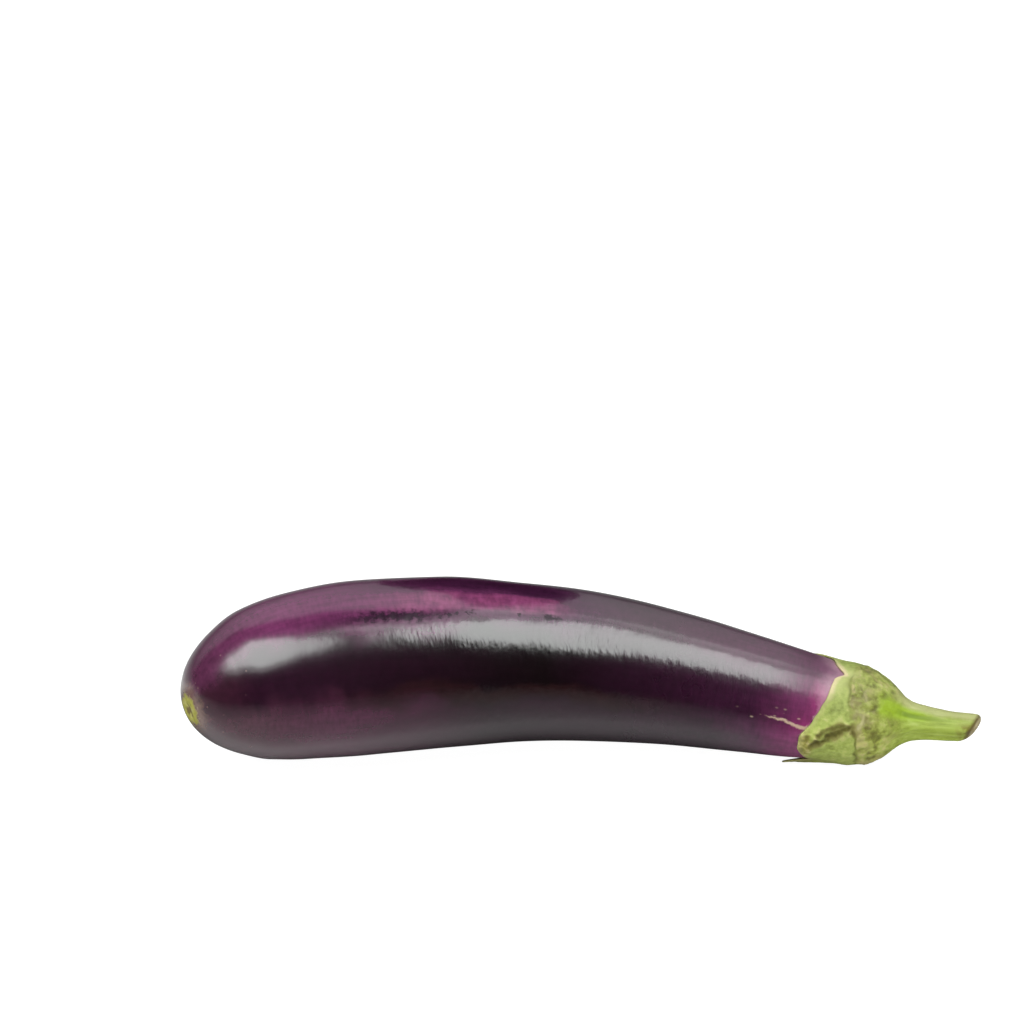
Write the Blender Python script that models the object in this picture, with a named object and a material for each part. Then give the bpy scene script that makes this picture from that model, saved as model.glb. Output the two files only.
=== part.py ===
"""A long purple Thai eggplant, picked, and lying on its side.

It has two pieces: the fruit, and the green calyx that grew together with its cut stalk.
Metres, +Z up. The table is the plane z = 0, and the origin is on it, below the middle of the whole.

A place on a skin has two measures. Along runs on the bent axis from the blossom end, in millimetres.
Around is the angle about that axis: 0 degrees faces the inside of the bend, -Y, and 90 faces up.
"""

import math

import bmesh
import bpy
import numpy as np

MM = 0.001  # metres in a millimetre

# Driving dimensions, in millimetres and degrees.
FRUIT_LENGTH = 203.0
STALK_END = 224.4
AXIS_START = (-108.1, -16.45)  # plan place of the blossom end
AXIS_STEP = 0.5

# (along, heading of the axis in plan, in degrees to the left of +X)
AXIS_HEADING = (
    (0, 34.4),
    (40, 10.2),
    (80, 6.2),
    (120, -4.9),
    (160, -12.5),
    (180, -14),
    (198, -17),
    (226, -10),
)
# (along, height of the axis above the table); it lies up to 0.5 below the radius, which presses the skin flat
AXIS_HEIGHT = (
    (0, 21.4),
    (25, 23.3),
    (50, 23.9),
    (75, 23.4),
    (97, 21.8),
    (118, 20.4),
    (140, 18.3),
    (160, 16.2),
    (178, 14.8),
    (190, 14.6),
    (200, 15.0),
    (226, 17.0),
)
# (along, radius of the fruit)
FRUIT_RADIUS = (
    (0, 0),
    (2, 7.9),
    (6, 13.1),
    (12, 17.5),
    (20, 21.2),
    (32, 23.3),
    (50, 24.4),
    (75, 23.9),
    (97, 22.3),
    (118, 20.9),
    (140, 18.8),
    (160, 16.7),
    (176, 14.85),
    (180, 14.2),
    (184, 13.45),
    (188, 12.75),
    (193, 11.5),
    (198, 9.1),
    (202, 4.6),
    (203, 0),
)
SWELL = 0.006  # the fruit's unevenness, as a share of its radius
SWELL_TURN = 38.0  # along per radian, so that the swelling winds slowly round the fruit
SWELL_ENDS = 165.0  # along where the fruit is round again
SCAR_RADIUS = 2.6
SCAR_DEPTH = 0.7

# (along, outer radius of the calyx, and then of the stalk)
CALYX_RADIUS = (
    (170, 16.3),
    (178, 15.4),
    (185, 14.6),
    (190, 14.2),
    (194, 13.1),
    (197, 11.8),
    (200, 9.8),
    (204, 6.5),
    (207, 5.1),
    (213, 4.3),
    (220, 3.95),
    (223, 3.8),
)
GAP = 0.3  # between the fruit's skin and the calyx that holds it
EDGE_WALL = 0.65  # thickness of the calyx at its edge
EDGE_TAPER = 6.0  # along over which the wall grows to its full thickness
# (around, along) of the calyx's edge: five pointed lobes, and between them the notches nearest to the stalk
CALYX_EDGE = (
    (-90, 190.5),
    (-78, 188.3),
    (-68, 180.0),
    (-58, 170.8),
    (-49, 179.0),
    (-42, 180.5),
    (-30, 178.6),
    (-12, 176.9),
    (5, 177.4),
    (20, 180.0),
    (45, 183.0),
    (80, 184.8),
    (94, 187.8),
    (108, 184.5),
    (126, 182.0),
    (150, 173.5),
    (160, 181.5),
    (170, 188.0),
    (183, 180.0),
    (197, 171.0),
    (208, 180.0),
    (220, 187.5),
    (230, 181.0),
    (238, 174.5),
    (247, 182.5),
    (258, 188.3),
    (270, 190.5),
)
EDGE_EASE = 2.5  # degrees each side over which the edge's corners are eased
# (around, half-width in degrees, lift at the tip) of the lobes whose tips stand off the fruit
LIFTED_TIPS = ((-58, 11, 1.2), (197, 15, 2.2), (238, 12, 0.8))
LIFT_FROM = 185.0  # along where a tip begins to lift
LIFT_OVER = 13.0
# The blunt front lobe ends in a thick roll, turned under.
ROLL_ALONG = 178.6
ROLL_AROUND = -8.0
ROLL_REACH = (2.2, 4.5)  # along, and round the fruit
ROLL_HEIGHT = 1.1

RIBS = 5  # low ribs run down the stalk, one to each lobe
RIB_GROOVE = 58.0  # around of one of the grooves between them
RIBS_FROM = 196.0  # along where the ribs begin to stand out
RIBS_OVER = 12.0
STALK_RIB = 0.07  # depth of the stalk's grooves, as a share of its radius
CALYX_RIB = 0.018
NECK_ALONG = 203.0  # where the cup has narrowed to the stalk
CUT_ROUND = 3.0  # along over which the stalk's cut end is rounded off
CUT_SLANT = 0.4  # how far each millimetre of height moves the cut along, because it is oblique
SLANT_FROM = 6.0  # the slant begins this far before the end, and is full after the next length
SLANT_OVER = 4.0
RIM_OUT = 0.22  # the rounded rim of the calyx's edge stands out this far
FLOOR_WALL = 0.65  # the least height of the calyx's inner skin above the table

FRUIT_ROWS = 44
FRUIT_COLUMNS = 60
CALYX_COLUMNS = 84
INNER_ROWS = 12
OUTER_ROWS = 15
STALK_ROWS = 7
END_ROWS = 3

# (red, green, blue) as a screen shows them, in hexadecimal, and roughness
SKIN_LOOK = ("3A1536", 0.25)
CALYX_LOOK = ("8E9C4A", 0.6)

TURN_STEP = 0.01  # radians between the two points that give the fruit's slope


def smooth_curve(stations, at):
    """Values at the given places on a smooth curve through (place, value) stations that doesn't overshoot."""
    place, value = np.array(stations, dtype=float).T
    step = np.diff(place)
    rise = np.diff(value) / step
    before = rise[:-1]
    after = rise[1:]
    slope = np.concatenate((rise[:1], np.zeros(len(before)), rise[-1:]))
    steady = np.nonzero(before * after > 0)[0]
    slope[steady + 1] = 2 * before[steady] * after[steady] / (before[steady] + after[steady])
    i = np.clip(np.searchsorted(place, at, side="right") - 1, 0, len(step) - 1)
    t = (at - place[i]) / step[i]
    ease = t * t * (3 - 2 * t)
    bend = slope[i] * (1 - t) - slope[i + 1] * t
    return value[i] * (1 - ease) + value[i + 1] * ease + step[i] * t * (1 - t) * bend


def eased(share):
    """0 up to 0, 1 from 1 on, and a smooth rise between."""
    share = np.clip(share, 0, 1)
    return share * share * (3 - 2 * share)


def trace_axis():
    """The axis in plan: rows of along, x and y."""
    along = np.arange(0, STALK_END + 2, AXIS_STEP)
    heading = np.radians(smooth_curve(AXIS_HEADING, along))
    middle = (heading[1:] + heading[:-1]) / 2
    x = AXIS_START[0] + np.append(0, np.cumsum(np.cos(middle))) * AXIS_STEP
    y = AXIS_START[1] + np.append(0, np.cumsum(np.sin(middle))) * AXIS_STEP
    return along, x, y


AXIS = trace_axis()


def skin_points(along, radius, around, lowest):
    """World places at a radius from the axis, none of them lower than the given height."""
    heading = np.radians(smooth_curve(AXIS_HEADING, along))
    level = radius * np.cos(around)
    x = np.interp(along, AXIS[0], AXIS[1]) + level * np.sin(heading)
    y = np.interp(along, AXIS[0], AXIS[2]) - level * np.cos(heading)
    z = smooth_curve(AXIS_HEIGHT, along) + radius * np.sin(around)
    return np.stack((x, y, np.maximum(z, lowest)), axis=1) * MM


def fruit_profile(turn):
    """(along, radius) of the fruit at a turn from 0, the blossom end, to pi, the stalk end."""
    along = FRUIT_LENGTH * (1 - np.cos(turn)) / 2
    squares = [(place, radius * radius) for place, radius in FRUIT_RADIUS]
    return along, np.sqrt(np.maximum(smooth_curve(squares, along), 0))


def fruit_radius(along):
    """The fruit's radius at a distance along its axis."""
    return fruit_profile(np.arccos(np.clip(1 - 2 * along / FRUIT_LENGTH, -1, 1)))[1]


def fruit_points(row, around):
    """The fruit's skin, with its faint swellings, the dimple of the blossom scar and the flat it rests on."""
    along, radius = fruit_profile(row / FRUIT_ROWS * math.pi)
    fade = 1 - eased(along / SWELL_ENDS)
    radius = radius * (1 + SWELL * fade * np.cos(2 * around + along / SWELL_TURN))
    dimple = SCAR_DEPTH * np.exp(-((radius / SCAR_RADIUS) ** 2)) * (row < FRUIT_ROWS / 2)
    return skin_points(along + dimple, radius, around, 0)


def calyx_edge(around):
    """Along of the calyx's edge at an angle in radians."""
    place, edge = np.array(CALYX_EDGE, dtype=float).T
    degrees = np.degrees(around)
    total = 0
    for ease in (-EDGE_EASE, 0, EDGE_EASE):
        total = total + np.interp((degrees + ease - place[0]) % 360 + place[0], place, edge)
    return total / 3


def angle_between(around, centre):
    """Degrees from a centre to an angle in radians, the short way round."""
    return (np.degrees(around) - centre + 180) % 360 - 180


def tip_lift(along, around):
    """How far a lobe stands off the fruit."""
    reach = np.clip((LIFT_FROM - along) / LIFT_OVER, 0, 1) ** 2
    lift = 0
    for centre, half_width, height in LIFTED_TIPS:
        lift = lift + height * np.exp(-((angle_between(around, centre) / half_width) ** 2))
    return lift * reach


def calyx_inner(share, around):
    """(along, radius) of the calyx's inner skin, from the fruit's stalk end at 0 to the calyx's edge at 1."""
    edge_turn = np.arccos(1 - 2 * calyx_edge(around) / FRUIT_LENGTH)
    turn = math.pi + (edge_turn - math.pi) * share
    along, radius = fruit_profile(turn)
    before = fruit_profile(turn - TURN_STEP)
    run = along - before[0]
    rise = radius - before[1]
    length = np.hypot(run, rise)
    along = along - GAP * rise / length
    return along, radius + GAP * run / length + tip_lift(along, around)


def ribbed(along, around):
    """The share by which the ribs and grooves change the radius."""
    depth = CALYX_RIB + (STALK_RIB - CALYX_RIB) * eased((along - RIBS_FROM) / RIBS_OVER)
    return 1 - depth * np.cos(RIBS * (around - math.radians(RIB_GROOVE)))


def front_roll(along, around):
    """The thick roll at the tip of the front lobe."""
    arc = np.radians(angle_between(around, ROLL_AROUND)) * fruit_radius(along)
    reach = ((along - ROLL_ALONG) / ROLL_REACH[0]) ** 2 + (arc / ROLL_REACH[1]) ** 2
    return ROLL_HEIGHT * np.exp(-reach)


def calyx_outer(along, around):
    """The radius of the calyx's outer skin, and of the stalk's."""
    thin = fruit_radius(np.minimum(along, FRUIT_LENGTH)) + GAP + EDGE_WALL
    full = smooth_curve(CALYX_RADIUS, along) * ribbed(along, around)
    full = np.where(along < RIBS_FROM, np.maximum(full, thin), full)
    inward = eased((along - calyx_edge(around)) / EDGE_TAPER)
    return thin + (full - thin) * inward + tip_lift(along, around) + front_roll(along, around)


def cut_slant(along, radius, around):
    """How far the oblique cut moves a point of the stalk's end along the axis."""
    near_end = eased((along - STALK_END + SLANT_FROM) / SLANT_OVER)
    return CUT_SLANT * radius * np.sin(around) * near_end


def calyx_points(row, around):
    """The calyx and stalk as one skin: down the inside, over the edge, and up the outside to the cut."""
    edge = calyx_edge(around)
    rim_row = INNER_ROWS + 1
    neck_row = rim_row + OUTER_ROWS
    end_row = neck_row + STALK_ROWS

    inner_along, inner_radius = calyx_inner(np.clip(row / INNER_ROWS, 0, 1), around)
    cup_share = np.clip((row - rim_row - 1) / (OUTER_ROWS - 1), 0, 1)
    cup_along = edge + (NECK_ALONG - edge) * cup_share
    stalk_share = np.clip((row - neck_row) / STALK_ROWS, 0, 1)
    stalk_along = NECK_ALONG + (STALK_END - CUT_ROUND - NECK_ALONG) * stalk_share
    end_turn = np.clip((row - end_row) / END_ROWS, 0, 1) * math.pi / 2
    end_along = stalk_along + CUT_ROUND * np.sin(end_turn)

    outer_along = np.where(row <= neck_row, cup_along, np.where(row <= end_row, stalk_along, end_along))
    outer_radius = calyx_outer(outer_along, around) * np.cos(end_turn)
    outer_along = outer_along + cut_slant(outer_along, outer_radius, around)

    inside = row <= INNER_ROWS
    rim = row == rim_row
    along = np.where(inside, inner_along, outer_along)
    radius = np.where(inside, inner_radius, outer_radius)
    along = np.where(rim, edge - RIM_OUT, along)
    radius = np.where(rim, (inner_radius + calyx_outer(edge, around)) / 2, radius)
    lowest = np.where(inside, FLOOR_WALL, np.where(rim, FLOOR_WALL / 2, 0))
    return skin_points(along, radius, around, lowest)


def closed_skin(name, rows, columns, place):
    """A closed mesh: a sphere of rows and columns, whose corners move to place(row, around)."""
    shell = bmesh.new()
    bmesh.ops.create_uvsphere(shell, u_segments=columns, v_segments=rows, radius=1)
    corners = np.array([corner.co for corner in shell.verts], dtype=float)
    row = np.rint(np.arccos(np.clip(corners[:, 2], -1, 1)) / math.pi * rows)
    around = np.arctan2(corners[:, 1], corners[:, 0])
    for corner, point in zip(shell.verts, place(row, around)):
        corner.co = point
    mesh = bpy.data.meshes.new(name)
    shell.to_mesh(mesh)
    shell.free()
    mesh.shade_smooth()
    return mesh


def linear_colour(code):
    """A screen colour in hexadecimal as the linear values that a shader takes."""
    channels = [int(code[i : i + 2], 16) / 255 for i in (0, 2, 4)]
    return [c / 12.92 if c <= 0.04045 else ((c + 0.055) / 1.055) ** 2.4 for c in channels] + [1]


def plain_material(name, look):
    """A Principled material of one colour and roughness."""
    material = bpy.data.materials.new(name)
    material.use_nodes = True
    shader = material.node_tree.nodes["Principled BSDF"]
    shader.inputs["Base Color"].default_value = linear_colour(look[0])
    shader.inputs["Roughness"].default_value = look[1]
    shader.inputs["Metallic"].default_value = 0
    return material


def add_piece(collection, name, mesh, material):
    """An object for one piece, at the origin, with its place in its mesh."""
    mesh.materials.append(material)
    collection.objects.link(bpy.data.objects.new(name, mesh))


def clear_scene():
    """Takes away whatever the scene holds."""
    for thing in list(bpy.data.objects):
        bpy.data.objects.remove(thing)


def main():
    clear_scene()
    eggplant = bpy.data.collections.new("thai_eggplant")
    bpy.context.scene.collection.children.link(eggplant)

    fruit = closed_skin("fruit", FRUIT_ROWS, FRUIT_COLUMNS, fruit_points)
    add_piece(eggplant, "fruit", fruit, plain_material("purple_skin", SKIN_LOOK))

    calyx_rows = INNER_ROWS + 1 + OUTER_ROWS + STALK_ROWS + END_ROWS
    calyx = closed_skin("calyx_and_stalk", calyx_rows, CALYX_COLUMNS, calyx_points)
    add_piece(eggplant, "calyx_and_stalk", calyx, plain_material("green_calyx", CALYX_LOOK))


main()
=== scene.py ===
"""A long purple Thai eggplant, picked and laid on a table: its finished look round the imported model.

Metres, +Z up, and the table is the plane z = 0. A place on a skin has two measures. Along runs on the bent
axis from the blossom end, in millimetres. Around is the angle about that axis: 0 degrees faces -Y, the
inside of the bend, and 90 faces up.
"""

import math
from functools import partial

import bmesh
import bpy
import numpy as np
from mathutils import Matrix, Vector, noise


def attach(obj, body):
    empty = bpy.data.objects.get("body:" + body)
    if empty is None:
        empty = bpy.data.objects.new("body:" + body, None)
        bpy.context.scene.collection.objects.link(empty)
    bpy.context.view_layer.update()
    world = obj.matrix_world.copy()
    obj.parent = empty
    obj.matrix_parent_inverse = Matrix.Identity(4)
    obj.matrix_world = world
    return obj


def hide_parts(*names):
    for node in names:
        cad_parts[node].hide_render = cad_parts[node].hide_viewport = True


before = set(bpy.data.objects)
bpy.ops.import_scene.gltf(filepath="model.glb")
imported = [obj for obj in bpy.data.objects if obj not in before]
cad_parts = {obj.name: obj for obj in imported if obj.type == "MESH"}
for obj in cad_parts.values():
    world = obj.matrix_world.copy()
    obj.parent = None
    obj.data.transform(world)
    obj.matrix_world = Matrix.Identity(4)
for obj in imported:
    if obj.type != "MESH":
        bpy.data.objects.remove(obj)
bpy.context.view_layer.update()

MM = 0.001  # metres in a millimetre

# ---- the fruit's and the calyx's measures

FRUIT_LENGTH = 203
STALK_END = 224.4
AXIS_START = (-108.1, -16.45)  # plan place of the blossom end
AXIS_STEP = 0.5

# (along, heading of the axis in plan, in degrees to the left of +X)
AXIS_HEADING = (
    (0, 34.4), (40, 10.2), (80, 6.2), (120, -4.9), (160, -12.5), (180, -14), (198, -17), (226, -10),
)
# (along, height of the axis above the table)
AXIS_HEIGHT = (
    (0, 21.4), (25, 23.3), (50, 23.9), (75, 23.4), (97, 21.8), (118, 20.4), (140, 18.3), (160, 16.2),
    (178, 14.8), (190, 14.6), (200, 15), (226, 17),
)
# (along, radius of the fruit)
FRUIT_RADIUS = (
    (0, 0), (2, 7.9), (6, 13.1), (12, 17.5), (20, 21.2), (32, 23.3), (50, 24.4), (75, 23.9), (97, 22.3),
    (118, 20.9), (140, 18.8), (160, 16.7), (176, 14.85), (180, 14.2), (184, 13.45), (188, 12.75),
    (193, 11.5), (198, 9.1), (202, 4.6), (203, 0),
)
SWELL = 0.006  # the fruit's unevenness, as a share of its radius
SWELL_TURN = 38  # along per radian, so that the swelling winds slowly round the fruit
SWELL_ENDS = 165  # along where the fruit is round again
# (along, around, height, reach along, reach round in degrees) of its faint swelling and hollow
FRUIT_SWELLINGS = ((74, 61, 0.26, 15, 14), (113, 61, -0.34, 12, 14))
SCAR_RADIUS = 2.6
SCAR_DEPTH = 0.7

# (along, outer radius of the calyx, and then of the stalk)
CALYX_RADIUS = (
    (170, 16.3), (178, 15.4), (185, 14.6), (190, 14.2), (194, 13.1), (197, 11.8), (200, 9.8),
    (204, 6.5), (207, 5.1), (213, 4.3), (220, 3.95), (223, 3.8),
)
GAP = 0.12  # between the fruit's skin and the calyx that holds it
TURN_STEP = 0.01  # radians between the two points that give the fruit's slope
EDGE_WALL = 0.5  # thickness of the calyx at its edge
EDGE_TAPER = 6  # along over which the wall grows to its full thickness
# (around, along) of the calyx's edge: five pointed lobes and the notches between them
CALYX_EDGE = (
    (-90, 190.5), (-78, 188.3), (-68, 180), (-58, 170.8), (-49, 179), (-42, 180.5), (-30, 178.6),
    (-12, 176.9), (5, 177.4), (20, 180), (45, 183), (78, 184.6), (88, 186.9), (101, 184.6),
    (126, 182), (150, 175), (160, 181.5), (170, 188), (183, 180), (197, 171), (208, 180),
    (220, 187.5), (230, 181), (238, 174.5), (247, 182.5), (258, 188.3), (270, 190.5),
)
EDGE_EASE = 2  # degrees each side over which the edge's corners are eased
NIBBLE = (0.45, 3.2)  # the edge's small unevenness: how far it goes in and out, and its length
# (around, half-width in degrees, lift at the tip) of the lobes whose tips stand off the fruit
LIFTED_TIPS = ((-58, 11, 1.2), (197, 15, 2.2), (238, 12, 0.8))
LIFT_FROM = 185  # along where a tip begins to lift
LIFT_OVER = 13
# The blunt front lobe ends in a thick roll, turned under.
ROLL_ALONG = 178.6
ROLL_AROUND = -8
ROLL_REACH = (2.2, 4.5)  # along, and round the fruit
ROLL_HEIGHT = 1.1

RIBS = 5  # low ribs run down the stalk, one to each lobe
RIB_GROOVE = 58  # around of one of the grooves between them
RIBS_FROM = 196  # along where the ribs begin to stand out
RIBS_OVER = 12
STALK_RIB = 0.07  # depth of the stalk's grooves, as a share of its radius
CALYX_RIB = 0.018
NECK_ALONG = 203  # where the cup has narrowed to the stalk
CUT_ROUND = 3  # along over which the stalk's cut end is rounded off
CUT_BLUNT = 0.8  # under 1, the rounding keeps close to the rim and leaves the face flat
# how far each millimetre towards the front, and each upwards, moves the oblique cut along
CUT_SLANT = (-0.4, 0.3)
SLANT_FROM = 6  # the slant begins this far before the end, and is full after the next length
SLANT_OVER = 4
RIM_OUT = 0.3  # the rounded rim of the calyx's edge stands out this far
FLOOR_WALL = 0.45  # the least height of the calyx's inner skin above the table

# (around, along) of the step where the lobes leave the cup: the cup is fleshier and stands higher
STEP_LINE = (
    (-90, 194.5), (-60, 193.8), (-17, 193.5), (4, 193), (23, 192), (36, 191), (49, 190), (65, 188.6),
    (83, 188), (94, 189.4), (120, 190), (150, 190.6), (170, 191.4), (200, 191), (235, 192),
    (258, 194), (270, 194.5),
)
STEP_RIDGE = (0.34, 1.3, 1.3)  # height, half-width, and how far inward of the step it is
STEP_GROOVE = (0.3, 0.55)  # depth and half-width
STEP_STAIN = 0.65  # half-width of the browned line in the groove
OFF_STEP = -5  # past_step of the inner skin, which has no step
# (around, share of its full depth) of the step, which is plain in front and faint behind
STEP_STRENGTH = (
    (-90, 0.4), (-40, 0.6), (-20, 0.9), (8, 0.9), (16, 0.65), (27, 0.3), (45, 0.45), (60, 0.8),
    (82, 0.8), (92, 0.45), (110, 0.3), (200, 0.3), (270, 0.4),
)
# Folds, as (along, around) points, each with its depth and half-width
FOLDS = (
    (((181, -6), (183.6, 1), (186.2, 9), (188.4, 16), (190.2, 21)), 0.42, 0.85),
    (((182.2, 8), (184.6, 13.5), (186.8, 19), (188.6, 23)), 0.3, 0.7),
    (((190.8, 24), (192.8, 14)), 0.2, 0.8),
    (((186, 150), (181.5, 150)), 0.2, 0.6),
    (((187, 197), (178.5, 197)), 0.25, 0.6),
    (((187.5, 238), (180.5, 238)), 0.2, 0.6),
)
FOLD_LIPS = (0.5, 2)  # height of a fold's lips as a share of its depth, and their place in half-widths
FOLD_STAIN = (0.4, 1.15)  # a fold this deep has browned fully, over this many half-widths
# how far the step and the folds stray, over what length, and the noise's part for straying round
WANDER = (1.1, 2.6, 19)
# along, around, depth, radius and browning of a dent in the rolled tip
DIMPLE = (179.1, 2.5, 0.4, 0.7, 0.8)
CUP_FROM = -1  # past_step where the relief of the lobes begins to give way to the cup's
CUP_OVER = 3
SKIN_REACH = 14.4  # radius that turns degrees into millimetres on the calyx

# (along, around, height, reach along, reach round in degrees) of places where the calyx is fuller or leaner
CALYX_SWELLINGS = ((198, -42, 1, 4.6, 34), (209.5, 120, 0.5, 6, 50), (209, -50, -0.25, 6, 40))

# Small relief of the calyx and stalk: (height, length along, length round, its own part of the noise)
PUCKERS = (0.26, 3.2, 2.4, 0)
PIMPLES = (0.08, 1, 0.9, 31)
CUP_WRINKLES = (0.16, 5.5, 1.3, 57)
BAND_WRINKLES = (0.26, 1.2, 3.4, 97)  # these run beside the step
STALK_FIBRES = (0.12, 14, 0.8, 83)
FOLD_GRIT = (0.4, 1.1, 1.3, 43)  # the folds have dried rough
LOBE_PUCKERS = 0.45  # their share on the lobes, and next, on the stalk
STALK_PUCKERS = 0.3
STALK_PIMPLES = 0.5
# past the step, the band of wrinkles grows over the first, ends at the second, and fades over the third
BAND = (1.2, 8, 4)
# depth, length, width as a share of it, and the noise's part, of the skin's net of creases
CREASES = (0.07, 3.4, 0.1, 71)
# the step's unevenness: its length and part of the noise, and its mean, least and most strength
STEP_BREAKS = (3, 11, 0.75, 0.2, 1.2)
EDGE_CALM = 2.5  # the relief grows over this far from the edge
WAVES = (0.09, 17)  # the fruit's faint long waves: height and length
WAVES_FADE = 12  # along over which they grow from both its ends

FRUIT_ROWS = 420
FRUIT_COLUMNS = 224
CALYX_COLUMNS = 360
INNER_ROWS = 22
RIM_ROWS = 6
OUTER_ROWS = 116
STALK_ROWS = 66
END_ROWS = 22


def smooth_curve(stations, at):
    """Values at the places on a smooth curve through (place, value) stations that doesn't overshoot."""
    place, value = np.array(stations, dtype=float).T
    step = np.diff(place)
    rise = np.diff(value) / step
    before = rise[:-1]
    after = rise[1:]
    slope = np.concatenate((rise[:1], np.zeros(len(before)), rise[-1:]))
    steady = np.nonzero(before * after > 0)[0]
    slope[steady + 1] = 2 * before[steady] * after[steady] / (before[steady] + after[steady])
    i = np.clip(np.searchsorted(place, at, side="right") - 1, 0, len(step) - 1)
    t = (at - place[i]) / step[i]
    ease = t * t * (3 - 2 * t)
    bend = slope[i] * (1 - t) - slope[i + 1] * t
    return value[i] * (1 - ease) + value[i + 1] * ease + step[i] * t * (1 - t) * bend


def eased(share):
    """0 up to 0, 1 from 1 on, and a smooth rise between."""
    share = np.clip(share, 0, 1)
    return share * share * (3 - 2 * share)


def trace_axis():
    """The axis in plan: rows of along, x and y."""
    along = np.arange(0, STALK_END + 2, AXIS_STEP)
    heading = np.radians(smooth_curve(AXIS_HEADING, along))
    middle = (heading[1:] + heading[:-1]) / 2
    x = AXIS_START[0] + np.append(0, np.cumsum(np.cos(middle))) * AXIS_STEP
    y = AXIS_START[1] + np.append(0, np.cumsum(np.sin(middle))) * AXIS_STEP
    return along, x, y


AXIS = trace_axis()


def skin_points(along, radius, around, lowest):
    """World places at a radius from the axis, none of them lower than the given height."""
    heading = np.radians(smooth_curve(AXIS_HEADING, along))
    level = radius * np.cos(around)
    x = np.interp(along, AXIS[0], AXIS[1]) + level * np.sin(heading)
    y = np.interp(along, AXIS[0], AXIS[2]) - level * np.cos(heading)
    z = smooth_curve(AXIS_HEIGHT, along) + radius * np.sin(around)
    return np.stack((x, y, np.maximum(z, lowest)), axis=1) * MM


def straightened(along, radius, around):
    """Places in millimetres as if the axis were straight: along it, towards the front, and up."""
    return np.stack((along, radius * np.cos(around), radius * np.sin(around)), axis=1)


def lumps(places, length_along, length_round=None):
    """Smooth unevenness, mostly from -0.5 to 0.5, at straightened places, in lumps of the given lengths."""
    scaled = places / np.array([length_along] + [length_round or length_along] * 2)
    return np.array([noise.noise(place) for place in scaled.tolist()])


def fruit_profile(turn):
    """(along, radius) of the fruit at a turn from 0, the blossom end, to pi, the stalk end."""
    along = FRUIT_LENGTH * (1 - np.cos(turn)) / 2
    squares = [(place, radius * radius) for place, radius in FRUIT_RADIUS]
    return along, np.sqrt(np.maximum(smooth_curve(squares, along), 0))


def fruit_radius(along):
    """The fruit's radius at a distance along its axis."""
    return fruit_profile(np.arccos(np.clip(1 - 2 * along / FRUIT_LENGTH, -1, 1)))[1]


def round_the_fruit(stations, around):
    """Values at angles in radians, from (degrees around, value) stations that go round the fruit."""
    place, along = np.array(stations, dtype=float).T
    return np.interp((np.degrees(around) - place[0]) % 360 + place[0], place, along)


def calyx_edge(around):
    """Along of the calyx's edge at an angle in radians."""
    ease = math.radians(EDGE_EASE)
    edge = sum(round_the_fruit(CALYX_EDGE, around + turn) for turn in (-ease, 0, ease)) / 3
    ring = straightened(0 * around, SKIN_REACH + 0 * around, around)
    return edge + NIBBLE[0] * lumps(ring, NIBBLE[1])


def angle_between(around, centre):
    """Degrees from a centre to an angle in radians, the short way round."""
    return (np.degrees(around) - centre + 180) % 360 - 180


def swellings(places, along, around):
    """Change of radius at swellings and hollows, given as (along, around, height, reach, reach round)."""
    change = 0
    for place, turned, height, reach, reach_round in places:
        gap = ((along - place) / reach) ** 2 + (angle_between(around, turned) / reach_round) ** 2
        change = change + height * np.exp(-gap)
    return change


def fruit_shape(row, around):
    """The fruit's skin, with its faint swellings and waves, and the dimple of the blossom scar."""
    along, radius = fruit_profile(row / FRUIT_ROWS * math.pi)
    fade = 1 - eased(along / SWELL_ENDS)
    radius = radius * (1 + SWELL * fade * np.cos(2 * around + along / SWELL_TURN))
    places = straightened(along, radius, around)
    grown = eased(along / WAVES_FADE) * eased((FRUIT_LENGTH - along) / WAVES_FADE)
    radius = radius + WAVES[0] * lumps(places, WAVES[1]) * grown
    radius = radius + swellings(FRUIT_SWELLINGS, along, around)
    dimple = SCAR_DEPTH * np.exp(-((radius / SCAR_RADIUS) ** 2)) * (row < FRUIT_ROWS / 2)
    marks = {"to_calyx": calyx_edge(around) - along}
    return along + dimple, radius, 0, marks


def tip_lift(along, around):
    """How far a lobe stands off the fruit."""
    reach = np.clip((LIFT_FROM - along) / LIFT_OVER, 0, 1) ** 2
    lift = 0
    for centre, half_width, height in LIFTED_TIPS:
        lift = lift + height * np.exp(-((angle_between(around, centre) / half_width) ** 2))
    return lift * reach


def calyx_inner(share, around, edge):
    """(along, radius) of the calyx's inner skin, from the fruit's stalk end, 0, to the calyx's edge, 1."""
    edge_turn = np.arccos(1 - 2 * edge / FRUIT_LENGTH)
    turn = math.pi + (edge_turn - math.pi) * share
    along, radius = fruit_profile(turn)
    before = fruit_profile(turn - TURN_STEP)
    run = along - before[0]
    rise = radius - before[1]
    length = np.hypot(run, rise)
    along = along - GAP * rise / length
    return along, radius + GAP * run / length + tip_lift(along, around)


def ribbed(along, around):
    """The share by which the ribs and grooves change the radius."""
    depth = CALYX_RIB + (STALK_RIB - CALYX_RIB) * eased((along - RIBS_FROM) / RIBS_OVER)
    return 1 - depth * np.cos(RIBS * (around - math.radians(RIB_GROOVE)))


def front_roll(along, around):
    """1 at the middle of the thick roll at the tip of the front lobe, 0 away from it."""
    arc = np.radians(angle_between(around, ROLL_AROUND)) * fruit_radius(along)
    reach = ((along - ROLL_ALONG) / ROLL_REACH[0]) ** 2 + (arc / ROLL_REACH[1]) ** 2
    return np.exp(-reach)


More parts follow.
